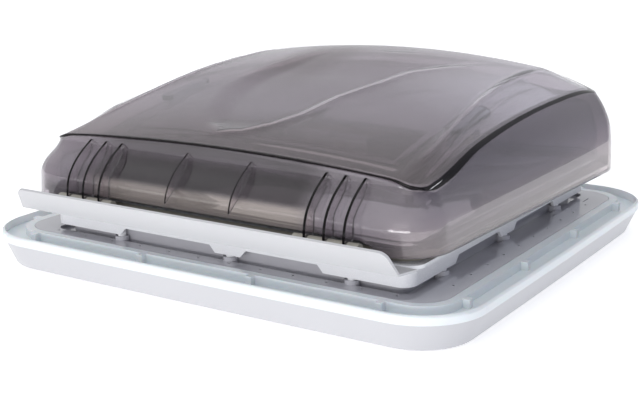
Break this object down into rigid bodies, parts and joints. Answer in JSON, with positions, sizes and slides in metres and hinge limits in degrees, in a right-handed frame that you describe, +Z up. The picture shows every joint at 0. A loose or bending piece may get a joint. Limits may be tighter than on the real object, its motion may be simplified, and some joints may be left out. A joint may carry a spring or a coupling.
{
  "type": "caravan roof vent",
  "caption": "Tilting roof vent with a smoked double dome on a front hinge, roof frame, wind deflector, clamp carrier, ceiling tray, bow handle, blind and fly screen.",
  "frame": {"origin": "centre of the room-side face of the trim frame", "axes": "+X along the dome hinge, +Y from the hinge to the opening edge, +Z up out of the roof"},
  "size_m": [0.522, 0.49, 0.1855],
  "materials": {
    "smoked_acrylic": "smoked transparent acrylic, gloss",
    "clear_acrylic": "clear acrylic, gloss",
    "clear_clip": "clear, gloss",
    "seal_rubber": "soft rubber, matt",
    "frame_white": "moulded, semi-gloss",
    "carrier_grey": "moulded, gloss",
    "tray_translucent": "translucent, satin",
    "trim_white": "moulded, satin",
    "pin_steel": "bright",
    "screw_steel": "zinc plated",
    "rail_nylon": "moulded, matt",
    "bow_aluminium": "anodised, satin",
    "grip_grey": "fine grain, matt",
    "button_grey": "moulded, matt",
    "blind_pleats": "pleated cloth",
    "screen_mesh": "pleated net"
  },
  "bodies": {
    "frame": {"trim_frame": "trim_white", "ceiling_tray": "tray_translucent", "carrier_frame": "carrier_grey", "outer_frame": "frame_white", "wind_deflector": "frame_white", "dome_seal": "seal_rubber", "hinge_pin_left": "pin_steel", "hinge_pin_right": "pin_steel", "clamp_screws": "screw_steel", "trim_screws": "screw_steel", "guide_rail_left": "rail_nylon", "guide_rail_right": "rail_nylon", "latch_keepers": "rail_nylon", "side_rail_left": "trim_white", "side_rail_right": "trim_white", "blind_cassette": "trim_white", "screen_cassette": "trim_white"},
    "dome": {"outer_dome": "smoked_acrylic", "inner_dome": "clear_acrylic", "dome_clips": "clear_clip", "bow_bracket_left": "rail_nylon", "bow_bracket_right": "rail_nylon", "bow_pins": "pin_steel"},
    "bow": {"bow_tube": "bow_aluminium", "bow_hubs": "grip_grey", "bow_shoes": "rail_nylon", "bow_grip": "grip_grey", "button_spring": "pin_steel"},
    "button": {"lock_button": "button_grey"},
    "blind": {"blind_bar": "trim_white", "blind_fabric": "blind_pleats"},
    "screen": {"screen_bar": "trim_white", "screen_net": "screen_mesh"}
  },
  "joints": [
    {"name": "dome_hinge", "type": "hinge", "parent": "frame", "child": "dome", "pos_m": [0, -0.222, 0.0745], "axis": [1, 0, 0], "range_deg": [0, 50]},
    {"name": "bow_hinge", "type": "hinge", "parent": "dome", "child": "bow", "pos_m": [0, -0.025, 0.068], "axis": [1, 0, 0], "range_deg": [-100, 0]},
    {"name": "button_slide", "type": "slide", "parent": "bow", "child": "button", "axis": [0, 0, 1], "range_m": [0, 0.004], "stiffness_N_per_m": 500, "springref_m": -0.003, "deforming": ["button_spring"]},
    {"name": "blind_slide", "type": "slide", "parent": "frame", "child": "blind", "axis": [0, -1, 0], "range_m": [0, 0.316], "deforming": ["blind_fabric"]},
    {"name": "screen_slide", "type": "slide", "parent": "frame", "child": "screen", "axis": [0, 1, 0], "range_m": [0, 0.316], "deforming": ["screen_net"]}
  ],
  "couplings": [
    {"joint": "bow_hinge", "follows": "dome_hinge", "ratio": -2}
  ]
}
